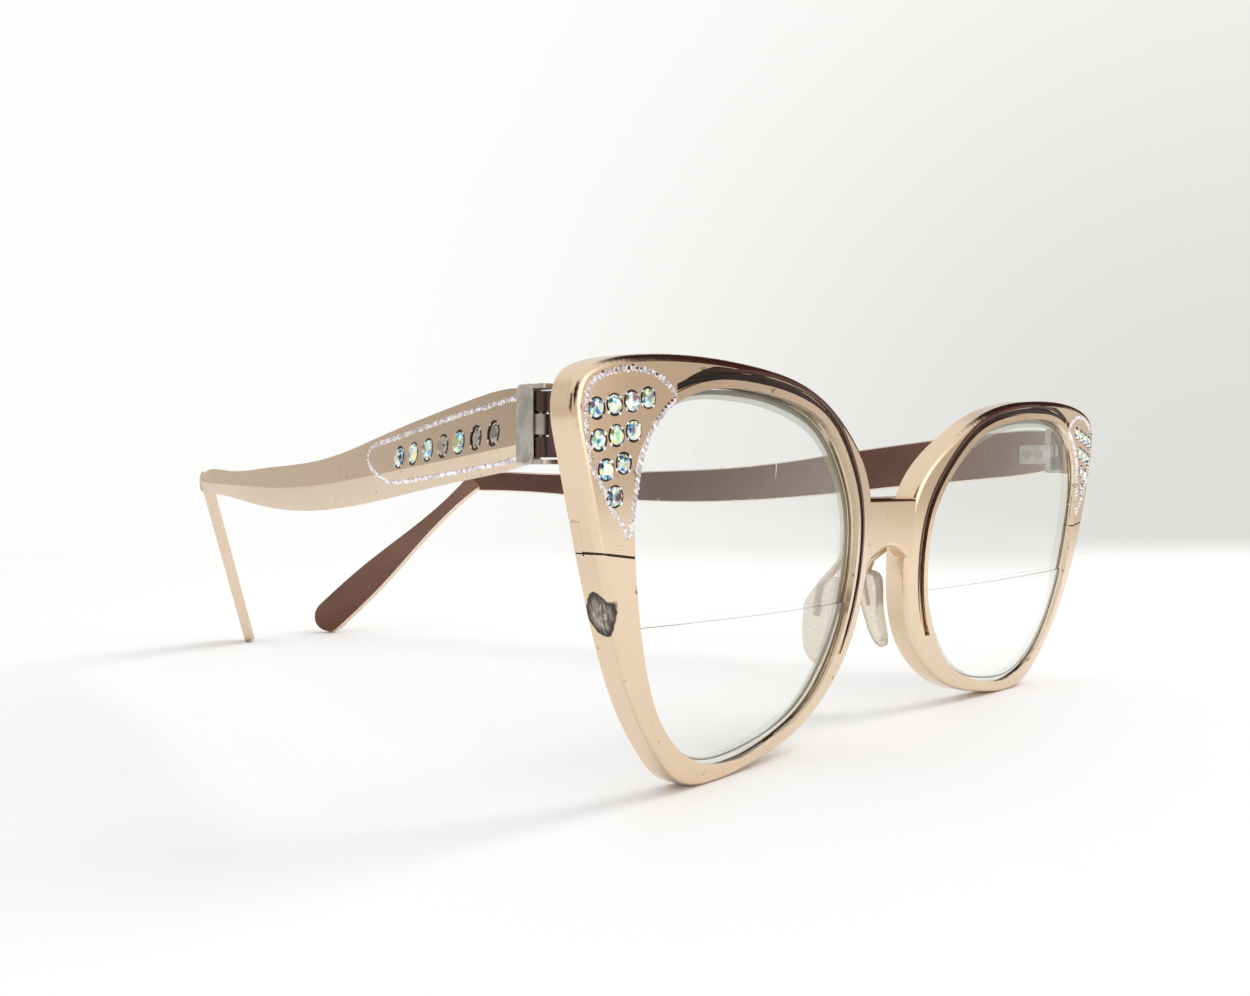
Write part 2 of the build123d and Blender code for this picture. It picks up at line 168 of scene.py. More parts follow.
# What polished metal sees round the studio: direction, inner and outer angle in degrees, colour.
room_zones = (
    ((0.77, -0.66, 0.16), 8, 24, (0.60, 0.55, 0.50)),
    ((0.80, -0.10, 0.60), 20, 34, (0.026, 0.008, 0.011)),
    ((1.00, 0.10, 0.22), 8, 20, (0.05, 0.02, 0.02)),
    ((0.86, -0.40, 0.48), 15, 23, (0.045, 0.014, 0.017)),
    ((-0.30, 0.90, 0.34), 8, 26, (0.34, 0.30, 0.27)),
    ((-0.98, 0.12, 0.16), 9, 20, (0.07, 0.035, 0.028)),
    ((-0.72, -0.60, 0.40), 12, 26, (0.05, 0.012, 0.012)),
    ((0.14, -0.97, 0.16), 12, 34, (2.1, 1.75, 1.70)),
)
world = bpy.data.worlds.new("studio")
scene.world = world
world.use_nodes = True
tree = world.node_tree
tree.nodes.clear()
way = add_node(tree, "ShaderNodeTexCoord").outputs["Generated"]
height = add_node(tree, "ShaderNodeSeparateXYZ", {0: way}).outputs["Z"]
room = mix_colour(tree, graded(tree, height, 0.0, 0.7), (0.72, 0.67, 0.62), (0.95, 0.93, 0.90))
for centre, inner, outer, colour in room_zones:
    room = mix_colour(tree, zone_mask(tree, centre, inner, outer), room, colour)
wall_shade = zone_mask(tree, (0.97, 0.22, -0.06), 4, 40)
backdrop = mix_colour(tree, wall_shade, (0.985, 0.98, 0.965), (0.74, 0.74, 0.71))
path = add_node(tree, "ShaderNodeLightPath").outputs
light = mix_colour(tree, path["Is Glossy Ray"], (0.85, 0.85, 0.85), room)
seen = maths(tree, "ADD", path["Is Camera Ray"], path["Is Transmission Ray"], clamp=True)
sky = add_node(tree, "ShaderNodeBackground", {"Color": mix_colour(tree, seen, light, backdrop)})
add_node(tree, "ShaderNodeOutputWorld", {"Surface": sky.outputs[0]})

# The table thins out far behind the object, and nearer all round where only a reflection sees it.
table_end, table_end_way = (0.13, 0.40), (0.60, 0.80, 0.0)
reflected_end = (0.14, 0.38)
table_white, tree, shader = new_material("table", {"Base Color": (0.99, 0.99, 0.985), "Roughness": 0.7,
                                                   "Specular IOR Level": 0.1})
spot = on_piece(tree)
behind = vector_maths(tree, "DOT_PRODUCT", spot, table_end_way)["Value"]
around = graded(tree, vector_maths(tree, "LENGTH", spot)["Value"], *reflected_end, "SMOOTHSTEP")
around = maths(tree, "MULTIPLY", around, add_node(tree, "ShaderNodeLightPath").outputs["Is Glossy Ray"])
let_through(tree, shader, maths(tree, "MAXIMUM", graded(tree, behind, *table_end, "SMOOTHSTEP"), around))
bpy.ops.mesh.primitive_plane_add(size=6.0, location=(0, 0, 0))
floor = bpy.context.object
floor.name = "table_top"
floor.data.materials.append(table_white)
floor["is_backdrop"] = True

lamp = bpy.data.lights.new("key", "AREA")
lamp.shape = "DISK"
lamp.size = 0.5
lamp.energy = 3.2
key = bpy.data.objects.new("key", lamp)
key.location = (0.62, -0.35, 0.75)
key.rotation_euler = (Vector((0, 0, 0.02)) - key.location).to_track_quat("-Z", "Y").to_euler()
key.visible_glossy = False
scene.collection.objects.link(key)

camera_place = (-0.13693, -0.13397, 0.03080)
camera_turn, camera_dip, camera_roll = (math.radians(angle) for angle in (-50.0, 1.08, 0.41))
camera_data = bpy.data.cameras.new("camera")
camera_data.sensor_width = 36.0
camera_data.lens = 35.64
camera_data.clip_start = 0.005
camera = bpy.data.objects.new("camera", camera_data)
camera.matrix_world = (Matrix.Translation(camera_place) @ Matrix.Rotation(camera_turn, 4, "Z")
                       @ Matrix.Rotation(math.pi / 2 - camera_dip, 4, "X")
                       @ Matrix.Rotation(camera_roll, 4, "Z"))
scene.collection.objects.link(camera)
scene.camera = camera


def noise(tree, place, scale, detail=2.0):
    """Soft cloudy noise from 0 to 1."""
    inputs = {"Vector": place, "Scale": scale, "Detail": detail}
    return add_node(tree, "ShaderNodeTexNoise", inputs).outputs["Fac"]


def wear_group():
    """Pits, hairlines and slow colour drift of an old polished surface."""
    group, start, end = new_group("polish wear",
                                  {"Pits": "Float", "Hairlines": "Float", "Drift Scale": "Float"},
                                  {"Dirt": "Float", "Height": "Float", "Drift": "Float"})
    place = on_piece(group)

    def grain(scale, detail, stretch=(1, 1, 1)):
        inputs = {"Vector": place, "Rotation": (0.5, 0.9, 0.3), "Scale": stretch}
        return noise(group, add_node(group, "ShaderNodeMapping", inputs).outputs[0], scale, detail)

    pits = graded(group, grain(900, 2), 0.70, 0.76, "SMOOTHSTEP")
    pits = maths(group, "MULTIPLY", pits, start.outputs["Pits"])
    lines = graded(group, grain(260, 3, (1, 14, 14)), 0.66, 0.72, "SMOOTHSTEP")
    lines = maths(group, "MULTIPLY", lines, start.outputs["Hairlines"])
    fine = maths(group, "MULTIPLY", grain(2500, 3), 0.15)
    feed(group, end.inputs["Dirt"], maths(group, "MAXIMUM", pits, maths(group, "MULTIPLY", lines, 0.35)))
    feed(group, end.inputs["Height"], maths(group, "SUBTRACT", fine, maths(group, "ADD", pits, lines)))
    feed(group, end.inputs["Drift"], grain(start.outputs["Drift Scale"], 3))
    return group


polish_wear = wear_group()


def add_wear(tree, pits=0.5, hairlines=0.5, drift_scale=70.0):
    """The outputs of the wear group, placed in a material with its own values."""
    inputs = {"Pits": pits, "Hairlines": hairlines, "Drift Scale": drift_scale}
    return add_node(tree, "ShaderNodeGroup", inputs, node_tree=polish_wear).outputs


def roughened(tree, by, most, least):
    """A roughness that rises with a mask."""
    return maths(tree, "ADD", maths(tree, "MULTIPLY", by, most), least)


def painted_shade_inside(tree, drift, colour):
    """Paints shade on the inner faces, next to the skin: turns them brown."""
    coordinates = add_node(tree, "ShaderNodeTexCoord").outputs
    spot = add_node(tree, "ShaderNodeSeparateXYZ", {0: coordinates["Object"]}).outputs
    facing = add_node(tree, "ShaderNodeSeparateXYZ", {0: coordinates["Normal"]}).outputs
    inward = maths(tree, "MULTIPLY", facing["X"], maths(tree, "SIGN", spot["X"]))
    inward = maths(tree, "MULTIPLY", inward, -1.6, clamp=True)
    brown = mix_colour(tree, drift, (0.38, 0.21, 0.16), (0.11, 0.055, 0.045))
    return mix_colour(tree, maths(tree, "MULTIPLY", inward, 0.94), colour, brown)


def bare_patch(tree, middle, radii, colour, rough, height):
    """Wears the gold off one spot, down to brushed bare metal with a dark ragged edge."""
    place = on_piece(tree)
    off = vector_maths(tree, "DIVIDE", vector_maths(tree, "SUBTRACT", place, middle)[0], radii)[0]
    ragged = maths(tree, "MULTIPLY", noise(tree, place, 900), 0.35)
    far = maths(tree, "ADD", vector_maths(tree, "LENGTH", off)["Value"], ragged)
    mask = graded(tree, far, 1.18, 1.10)
    along = add_node(tree, "ShaderNodeMapping", {"Vector": place, "Scale": (2.2, 2.2, 0.5)})
    brushed = noise(tree, along.outputs[0], 1500)
    worn = mix_colour(tree, graded(tree, brushed, 0.40, 0.80), (0.16, 0.13, 0.11), (0.72, 0.65, 0.58))
    bare = mix_colour(tree, graded(tree, far, 1.12, 0.70), (0.05, 0.04, 0.035), worn)
    return (mix_colour(tree, mask, colour, bare),
            maths(tree, "ADD", rough, maths(tree, "MULTIPLY", mask, 0.25)),
            maths(tree, "SUBTRACT", height, maths(tree, "MULTIPLY", mask, brushed)))


def anodised(name, pale, deep, roughness, pits=0.5, hairlines=0.5, drift_scale=70.0, shaded_inside=False,
             patch=()):
    """Polished anodised metal: two drifting tones, dark pits, and if asked, painted brown inner shade or a
    bare patch.
    """
    material, tree, shader = new_material(name, {"Metallic": 1.0})
    wear = add_wear(tree, pits, hairlines, drift_scale)
    colour = mix_colour(tree, wear["Drift"], pale, deep)
    colour = mix_colour(tree, wear["Dirt"], colour, (0.12, 0.07, 0.05))
    if shaded_inside:
        colour = painted_shade_inside(tree, wear["Drift"], colour)
    rough, height = roughened(tree, wear["Dirt"], 0.3, roughness), wear["Height"]
    if patch:
        colour, rough, height = bare_patch(tree, *patch, colour, rough, height)
    bump = add_node(tree, "ShaderNodeBump", {"Strength": 0.12, "Distance": 0.00003, "Height": height})
    feed(tree, shader.inputs["Normal"], bump.outputs[0])
    feed(tree, shader.inputs["Base Color"], colour)
    feed(tree, shader.inputs["Roughness"], rough)
    return material


def dress(node, material):
    """Gives a CAD node one material."""
    nodes[node].data.materials.clear()
    nodes[node].data.materials.append(material)


worn_patch = ((-0.0550, -0.0626, 0.0189), (0.0012, 0.0016, 0.0031))    # middle and reach, in metres
front_gold = anodised("front pink gold", (0.84, 0.68, 0.50), (0.79, 0.61, 0.45), 0.15,
                      pits=0.6, hairlines=0.4, patch=worn_patch)
dress("front_frame", front_gold)


# ------------------------------------------------------------------ brow channels
# Between the raised lip round each lens and the rolled brow runs a cut channel. The dark strip laid in it is
# painted shade and a painted reflection of the dark room; it spreads up over the brow beside the stone-set
# corner, and the channel ends low beside the nose. A dark line along its outer side is a painted reflection.
MM = 0.001
SIDES = {"left": 1, "right": -1}           # the wearer's left is +X
# From here on sizes are in millimetres, and places are on the wearer's left, mirrored for the other side.
lens_x, lens_z = 31.35, 20.45              # the middle of a lens opening
half_width, half_height = 22.05, 18.65
corner_x, corner_z = lens_x + half_width, lens_z + half_height
face_radius = 192.0                        # each eyewire follows a sphere
face_x, face_z = lens_x + 9.45, corner_z + 0.4         # the sphere's foremost point, above the lens
face_y = -65.6535                          # and how far forward that point lies


def face_point(x, z, proud=0.0, side=1):
    """A spot on the front's face and the way out of it; from millimetres on the +X side, in metres."""
    across, up = x - face_x, z - face_z
    back = math.sqrt(face_radius ** 2 - across ** 2 - up ** 2)
    out = Vector((across, -back, up)).normalized()
    spot = Vector((x, face_y + face_radius - back, z)) + out * proud
    return Vector((side * spot.x, spot.y, spot.z)) * MM, Vector((side * out.x, out.y, out.z))


def smooth_line(points, step, closed=False):
    """Points about a step apart along a smooth curve through the given ones."""
    n = len(points)
    line = []
    for i in range(n if closed else n - 1):
        p = [Vector(points[(i + k) % n if closed else min(max(i + k, 0), n - 1)]) for k in (-1, 0, 1, 2)]
        for j in range(24):
            t = j / 24
            line.append(0.5 * (2 * p[1] + (p[2] - p[0]) * t + (2 * p[0] - 5 * p[1] + 4 * p[2] - p[3]) * t * t
                               + (3 * p[1] - p[0] - 3 * p[2] + p[3]) * t ** 3))
    line.append(Vector(points[0 if closed else -1]))
    total = sum((b - a).length for a, b in zip(line, line[1:]))
    count = max(2, round(total / step))
    step = total / count
    picked, run = [line[0].copy()], 0.0
    for a, b in zip(line, line[1:]):
        length = (b - a).length
        while len(picked) <= count and run + length >= step * len(picked) - 1e-9 and length:
            picked.append(a.lerp(b, (step * len(picked) - run) / length))
        run += length
    return picked[:count] if closed else picked


def new_shape():
    """The points and the faces of a shape, with none in them yet."""
    return [], []


def mesh_piece(name, shape, material, body, smooth=False):
    """A mesh object of one material that rides on a body, in one of its material slots."""
    mesh = bpy.data.meshes.new(name)
    mesh.from_pydata([tuple(v) for v in shape[0]], [], shape[1])
    mesh.validate()
    mesh.materials.append(material)
    piece = bpy.data.objects.new(name, mesh)
    scene.collection.objects.link(piece)
    outward = bmesh.new()
    outward.from_mesh(mesh)
    bmesh.ops.recalc_face_normals(outward, faces=outward.faces)
    outward.to_mesh(mesh)
    outward.free()
    if smooth:
        mesh.shade_smooth()
    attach(piece, body)
    return piece


def band(shape, rows, closed=False):
    """Adds a thin strip: each row is its two edge points on top, then the same two underneath."""
    verts, faces = shape
    base, n = len(verts), len(rows)
    for row in rows:
        verts.extend(row)
    for i in range(n if closed else n - 1):
        a, b = base + 4 * i, base + 4 * ((i + 1) % n)
        for k, m in ((0, 1), (1, 3), (3, 2), (2, 0)):
            faces.append((a + k, a + m, b + m, b + k))
    if not closed:
        last = base + 4 * (n - 1)
        faces.append((base, base + 2, base + 3, base + 1))
        faces.append((last, last + 1, last + 3, last + 2))


opening_shape = ((1.0, 0.43), (0.91, 0.78), (0.63, 0.96), (0.20, 1.0), (-0.22, 0.95), (-0.55, 0.83),
                 (-0.80, 0.60), (-0.96, 0.33), (-1.0, 0.0), (-0.92, -0.40), (-0.66, -0.77),
                 (-0.30, -0.94), (0.20, -1.0), (0.51, -0.88), (0.74, -0.62), (0.88, -0.27), (0.97, 0.15))
opening = smooth_line([(lens_x + a * half_width, lens_z + b * half_height) for a, b in opening_shape],
                      0.5, closed=True)


def opening_out(i):
    """The way out of the lens opening in the face, at its i-th point."""
    ahead = opening[(i + 1) % len(opening)] - opening[i - 1]
    return Vector((ahead.y, -ahead.x)).normalized()


def strip_row(i, side, edges, depths):
    """Across a strip beside the opening's i-th point: its edges out from the opening, at both its depths."""
    points = [opening[i] + opening_out(i) * away for away in edges]
    return [face_point(*p, depth, side)[0] for depth in depths for p in points]


brow_height = 36.3                         # above this the opening's outer half lies under the brow


def beside_brow(end_x, end_z):
    """Which points of the opening run from a place under the brow to a height beside the nose."""
    return [i for i, p in enumerate(opening)
            if p.x < end_x and p.y > (brow_height if p.x > lens_x else end_z)]


# Black lacquer in the split lines; the same dark is painted shade in the brow channels and the stone seats.
lacquer_and_shade, tree, shader = new_material("black lacquer and painted shade", {"Specular IOR Level": 0.25})
drift = noise(tree, on_piece(tree), 140)
black = mix_colour(tree, drift, (0.004, 0.006, 0.004), (0.035, 0.012, 0.010))
feed(tree, shader.inputs["Base Color"], black)
feed(tree, shader.inputs["Roughness"], roughened(tree, drift, 0.2, 0.25))
# The dark line along the brow is a painted reflection of the dark room, in dark reddish metal.
brow_reflection_paint = anodised("painted brow reflection", (0.20, 0.085, 0.075), (0.10, 0.045, 0.040), 0.2)

# Middles and edges are out from the lens opening, and depths out of the face. An end narrows over its taper.
channel_middle, channel_half, channel_depths = 1.21, 0.37, (-0.42, -0.44)
channel_end_x, channel_end_z, channel_taper = 47.6, 9.5, 9.0
# The spread is more painted shade, on the brow's face just outside the channel, widest towards the corner.
spread_edge, spread_least, spread_more, spread_depths = 1.56, 0.04, 0.55, (0.012, -0.02)
spread_from_x, spread_to_x, spread_nose_taper, spread_corner_taper = 33.0, 46.4, 9.0, 4.0
line_middle, line_half, line_depths = 1.83, 0.19, (0.015, -0.02)
line_end_x, line_end_z, line_corner_taper, line_nose_taper = 44.0, 12.5, 9.0, 6.0
for name, side in SIDES.items():
    channel, spread, line = [], [], []
    for i in beside_brow(channel_end_x, channel_end_z):
        p = opening[i]
        half = channel_half * min(1.0, 0.15 + (p.y - channel_end_z) / channel_taper)
        channel.append(strip_row(i, side, (channel_middle - half, channel_middle + half), channel_depths))
        if spread_from_x < p.x < spread_to_x:
            more = min(1.0, (p.x - spread_from_x) / spread_nose_taper) ** 1.3
            more *= spread_more * min(1.0, 0.02 + (spread_to_x - p.x) / spread_corner_taper)
            spread.append(strip_row(i, side, (spread_edge, spread_edge + spread_least + more), spread_depths))
    for i in beside_brow(line_end_x, line_end_z):
        p = opening[i]
        corner_share = min(1.0, 0.05 + (line_end_x - p.x) / line_corner_taper)
        nose_share = max(0.05, (p.y - line_end_z) / line_nose_taper)
        half = line_half * min(corner_share, nose_share)
        line.append(strip_row(i, side, (line_middle - half, line_middle + half), line_depths))
    # The channel strip and its spread: painted shade and painted reflection of the dark room.
    shape = new_shape()
    band(shape, channel)
    band(shape, spread)
    mesh_piece(f"channel_painted_shade_{name}", shape, lacquer_and_shade, "front")
    # The line: a painted reflection of the dark room.
    shape = new_shape()
    band(shape, line)
    mesh_piece(f"brow_reflection_line_{name}", shape, brow_reflection_paint, "front")


# ------------------------------------------------------------------ splits
# The lapped cut that lets each lens in shows as one dark line over the eyewire's outer side. Behind it, the
# lap's own step is packed with gold lacquer.
def surface_of(node):
    """A CAD node's surface, to find spots on."""
    mesh, place = nodes[node].data, nodes[node].matrix_world
    return BVHTree.FromPolygons([place @ v.co for v in mesh.vertices],
                                [tuple(p.vertices) for p in mesh.polygons])


front_surface = surface_of("front_frame")
split_x, split_z, split_slope = corner_x + 2.2, lens_z + 3.35, math.tan(math.radians(7.0))
step_depth, back_depth, lap_height = 2.0, 2.75, 3.0    # behind the face: the lap's step, and the cut's end
beside_cut = 0.25                          # metal is found this far to either side of the lap's cut
line_start_x, line_step, line_width, filling_width = 52.82, 0.5, 0.24, 0.36
side_x, inside_x = 57.0, 56.0              # where the face ends at the rim's outer side, and a place within
# the way that each spot round the rim is looked at from, in degrees, and its depth behind the face
round_rim = ((10, 0.75), (30, 0.75), (50, 0.75), (70, 0.75), (90, 0.9), (90, 1.4), (90, step_depth),
             (90, 2.4), (90, back_depth))
ray_start, ray_length = 0.006, 0.02        # in metres


def on_side(z, depth, side, turned=90.0):
    """A spot on the eyewire's outer side and the way out of it, seen from 0 ahead to 90 degrees outboard."""
    near = face_point(side_x, z, 0.0, side)[0]
    aim = Vector((side * inside_x * MM, near.y + depth * MM, z * MM))
    way = Vector((side * math.sin(math.radians(turned)), -math.cos(math.radians(turned)), 0))
    hit, normal, _, _ = front_surface.ray_cast(aim + way * ray_start, -way, ray_length)
    return hit, normal


def halfway(a, b):
    """Halfway between two spots and their ways out."""
    return [(p + q) / 2 for p, q in zip(a, b)]


def ribbon(shape, points, width):
    """Adds a thin strip along (spot, way out, way across) points."""
    band(shape, [[spot + across * (aside * width / 2 * MM) + out * (lift * MM) for lift in (0.01, -0.04)
                  for aside in (1, -1)] for spot, out, across in points])


upward, backward = Vector((0, 0, 1)), Vector((0, 1, 0))
for name, side in SIDES.items():
    line = []
    for step in range(8):
        x = line_start_x + line_step * step
        line.append((*face_point(x, split_z + (x - split_x) * split_slope, 0.0, side), upward))
    edge_z = split_z + 0.19
    for turned, depth in round_rim:
        # found a little below the cut, then moved up over it
        spot, out = on_side(edge_z - 0.3, depth, side, turned)
        line.append((spot + Vector((side * 0.1, 0, 0.3)) * MM, out, upward))
    shape = new_shape()
    ribbon(shape, line, line_width)
    mesh_piece(f"split_line_{name}", shape, lacquer_and_shade, "front")

    rise, level = [], []
    for i in range(7):
        z = edge_z + 0.13 + i * (lap_height - 0.2) / 6
        ahead, behind = (on_side(z, step_depth + off, side) for off in (-beside_cut, beside_cut))
        rise.append((*halfway(ahead, behind), backward))
    for depth in (step_depth - 0.2, 2.4, back_depth):
        under, over = (on_side(split_z + lap_height + off, depth, side) for off in (-beside_cut, beside_cut))
        level.append((*halfway(under, over), upward))
    shape = new_shape()
    ribbon(shape, rise, filling_width)
    ribbon(shape, level, filling_width)
    mesh_piece(f"split_filling_{name}", shape, front_gold, "front")


# ------------------------------------------------------------------ corner borders
# A bright-cut border frames the stones of each upswept corner: a row of small cuts made with a graver, whose
# polished faces are left silver.
silver, tree, shader = new_material("bright cut silver", {"Metallic": 1.0, "Roughness": 0.16})
facets = graded(tree, noise(tree, on_piece(tree), 1900, 1.0), 0.42, 0.62)
feed(tree, shader.inputs["Base Color"], mix_colour(tree, facets, (1.0, 0.99, 1.0), (0.64, 0.59, 0.60)))
border_line = ((59.3, 38.1), (57.8, 39.2), (55.5, 39.9), (53.1, 40.1), (51.2, 39.8), (49.4, 39.0),
               (48.3, 37.8), (49.9, 36.4), (51.4, 34.8), (52.5, 32.5), (53.0, 30.3), (53.4, 27.7),
               (53.7, 25.3), (54.7, 26.4), (56.0, 27.8), (57.2, 29.5), (58.5, 31.2), (59.3, 33.7),
               (59.5, 36.8))
lens_row_x, lens_row_z = 53.6, 37.9        # the border's cuts inward of and below these lie beside the lens
# length across the row, width along it and height of a cut, and how far it leans, in radians
outer_cut, outer_slant = (0.70, 0.42, 0.17), 0.10
lens_cut, lens_slant = (0.84, 0.44, 0.16), 0.62
track_width, track_proud = 0.44, 0.012
sunk = 0.08                                # how far cuts and tracks go into the metal


def cut(shape, spot, along, across, out, size):
    """Adds one raised cut: a low ridged bead, longer across the row than along it."""
    verts, faces = shape
    length, width, high = size
    base, ridge, end = len(verts), 0.45, 0.55
    ring = ((-1, -end), (-1, end), (-ridge, 1), (ridge, 1), (1, end), (1, -end), (ridge, -1), (-ridge, -1))
    for a, b in ring:
        verts.append(spot + across * (a * length / 2) + along * (b * width / 2) - out * (sunk * MM))
    for a in (-ridge, ridge):
        verts.append(spot + across * (a * length / 2) + out * high)
    tops = [base + (8 if a < 0 else 9) for a, _ in ring]
    for i in range(8):
        after = (i + 1) % 8
        faces.append(tuple(dict.fromkeys((base + i, base + after, tops[after], tops[i]))))
    faces.append(tuple(base + i for i in reversed(range(8))))


def along_row(line, find, closed=False):
    """The spot, the way out, the way ahead and the way aside at each point of a row on a surface."""
    for i, here in enumerate(line):
        after = line[(i + 1) % len(line)] if closed or i + 1 < len(line) else here * 2 - line[i - 1]
        spot, out = find(here)
        ahead = (find(after)[0] - spot).normalized()
        yield spot, out, ahead, out.cross(ahead).normalized()


def cut_row(shape, line, find, seed, size, slant):
    """Adds cuts along a row; find turns a point of the row into a spot and the way out of the surface."""
    rng = random.Random(seed)
    for spot, out, ahead, aside in along_row(line, find):
        lean = Matrix.Rotation(slant + rng.uniform(-0.14, 0.14), 3, out)
        tip = Matrix.Rotation(rng.uniform(-0.2, 0.2), 3, ahead)
        grow = rng.uniform(0.88, 1.12)
        cut(shape, spot, lean @ ahead, tip @ (lean @ aside), tip @ out, [v * grow * MM for v in size])


def track(shape, line, find, width, proud, closed=False):
    """Adds the thin flat strip that a row of cuts lies on."""
    rows = []
    for spot, out, _, aside in along_row(line, find, closed):
        rows.append([spot + aside * (half * MM) + out * (lift * MM)
                     for lift in (proud, -sunk) for half in (width / 2, -width / 2)])
    band(shape, rows, closed)


border = smooth_line(border_line, 0.52, closed=True)
beside_lens = [i for i, p in enumerate(border) if p.x < lens_row_x and p.y < lens_row_z]
lens_row = [border[i] for i in beside_lens]
outer_row = border[beside_lens[-1] + 1:] + border[:beside_lens[0]]
for name, side in SIDES.items():
    def on_face(p):
        """A spot on the front's face and the way out of it."""
        return face_point(p.x, p.y, 0.0, side)

    shape = new_shape()
    track(shape, border, on_face, track_width, track_proud, closed=True)
    cut_row(shape, outer_row, on_face, 7, outer_cut, outer_slant * side)
    cut_row(shape, lens_row, on_face, 9, lens_cut, lens_slant * side)
    mesh_piece(f"corner_border_{name}", shape, silver, "front")


# ------------------------------------------------------------------ stones
# Foiled glass stones with a rainbow coating, cut with a table, star, kite and girdle facets. Each is pressed
# into a drilled seat and held by four beads raised from the metal.
def foil_group():
    """Colours of a rainbow-coated, foiled stone: they change from facet to facet and from stone to stone."""
    group, start, end = new_group("foil fire", {"Tarnish": "Float"}, {"Colour": "Color"})
    facing = add_node(group, "ShaderNodeNewGeometry").outputs["True Normal"]
    facet = vector_maths(group, "MULTIPLY", facing, (2.6, 2.6, 2.6))[0]
    stone = vector_maths(group, "MULTIPLY", on_piece(group), (640, 640, 640))[0]
    patches = noise(group, vector_maths(group, "ADD", stone, facet)[0], 1.0, 1.0)
    ramp = add_node(group, "ShaderNodeValToRGB", {0: patches})
    ramp.color_ramp.interpolation = "EASE"
    fires = ((0.27, (0.02, 0.03, 0.04)), (0.34, (0.05, 0.20, 0.55)), (0.39, (0.25, 0.78, 0.92)),
             (0.43, (1.0, 1.0, 0.98)), (0.485, (1.0, 0.99, 0.95)), (0.515, (0.88, 0.90, 0.22)),
             (0.55, (1.0, 0.98, 0.90)), (0.60, (0.30, 0.80, 0.45)), (0.64, (0.45, 0.34, 0.72)),
             (0.71, (0.14, 0.07, 0.03)))
    for i, (stop, colour) in enumerate(fires):
        mark = ramp.color_ramp.elements[i] if i < 2 else ramp.color_ramp.elements.new(stop)
        mark.position = stop
        mark.color = (*colour, 1)
    brown = mix_colour(group, patches, (0.10, 0.07, 0.05), (0.62, 0.55, 0.46))
    feed(group, end.inputs["Colour"], mix_colour(group, start.outputs["Tarnish"], ramp.outputs[0], brown))
    return group


foil_fire = foil_group()


def foiled(name, tarnish, roughness):
    """Foiled glass: a mirror of many colours under a clear coat."""
    material, tree, shader = new_material(name, {"Metallic": 0.7, "Roughness": roughness, "Coat Weight": 1.0,
                                                 "Coat Roughness": 0.02})
    fire = add_node(tree, "ShaderNodeGroup", {"Tarnish": tarnish}, node_tree=foil_fire)
    feed(tree, shader.inputs["Base Color"], fire.outputs["Colour"])
    return material


def level_on(spot, out):
    """A place for a stone on a surface: its spot, the level way across, the way up and the way out."""
    across = upward.cross(out).normalized()
    return spot, across, out.cross(across), out


def round_from(place, angle, reach, lift=0.0):
    """A spot beside a place: the way round it in degrees, how far off and how far out, in metres."""
    spot, across, up, out = place
    turn = math.radians(angle)
    return spot + (across * math.cos(turn) + up * math.sin(turn)) * reach + out * lift


def ring_faces(faces, first, second, count):
    """Adds the faces between two rings of points, from the first point of each."""
    for i in range(count):
        after = (i + 1) % count
        faces.append((first + i, first + after, second + after, second + i))


def chaton(shape, place, diameter):
    """Adds one round stone with its facets, its widest line level with the place."""
    verts, faces = shape
    base = len(verts)
    for count, start, reach, lift in ((8, 0, 0.29, 0.20), (8, 22.5, 0.415, 0.12), (16, 0, 0.5, 0.015),
                                      (16, 0, 0.5, -0.03), (1, 0, 0.0, -0.42)):
        verts.extend(round_from(place, start + 360 / count * i, reach * diameter, lift * diameter)
                     for i in range(count))
    table, middle, girdle, under, foot = base, base + 8, base + 16, base + 32, base + 48
    faces.append([table + i for i in range(8)])
    for i in range(8):
        after, before = (i + 1) % 8, (i - 1) % 8
        faces.append((table + i, middle + i, table + after))
        faces.append((table + i, middle + before, girdle + 2 * i, middle + i))
        faces.append((middle + i, girdle + 2 * i, girdle + 2 * i + 1))
        faces.append((middle + i, girdle + 2 * i + 1, girdle + (2 * i + 2) % 16))
    ring_faces(faces, girdle, under, 16)
    faces.extend((under + i, foot, under + (i + 1) % 16) for i in range(16))


def bead(shape, place, diameter):
    """Adds one half-round bead."""
    verts, faces = shape
    base, radius, tall = len(verts), diameter / 2, diameter / 2 * 1.3
    for share, lift in ((1.0, -0.2), (0.94, 0.2), (0.6, 0.55)):
        verts.extend(round_from(place, 45 * i, share * radius, lift * tall) for i in range(8))
    verts.append(round_from(place, 0, 0.0, 0.62 * tall))
    ring_faces(faces, base, base + 8, 8)
    ring_faces(faces, base + 8, base + 16, 8)
    faces.extend((base + 16 + i, base + 16 + (i + 1) % 8, base + 24) for i in range(8))
    faces.append([base + i for i in reversed(range(8))])


def four_beads(shape, place, rng, off, smallest, largest):
    """Adds the beads that hold one stone."""
    for angle in (42, 138, 222, 318):
        spot = round_from(place, angle + rng.uniform(-8, 8), off * MM)
        bead(shape, (spot, *place[1:]), rng.uniform(smallest, largest) * MM)


def seat_shadow_ring(shape, place, diameter):
    """Adds the painted shade of a drilled seat round a stone: a thin flat dark ring."""
    band(shape, [[round_from(place, 15 * i, diameter * share, lift * MM) for lift in (0, -0.02)
                  for share in (0.40, 0.5)] for i in range(24)], closed=True)


def random_tip(rng, most, place):
    """A slight tilt, as of a stone pressed in by hand; most is in radians."""
    _, across, up, _ = place
    sideways = Matrix.Rotation(rng.uniform(-most, most), 3, up)
    return sideways @ Matrix.Rotation(rng.uniform(-most, most), 3, across)


rainbow = foiled("rainbow stone", 0.0, 0.08)
corner_stone, corner_seat_shadow, corner_pitch = 1.78, 2.02, 2.1
corner_bead = (0.98, 0.34, 0.44)           # off the stone's middle, and its least and greatest diameter
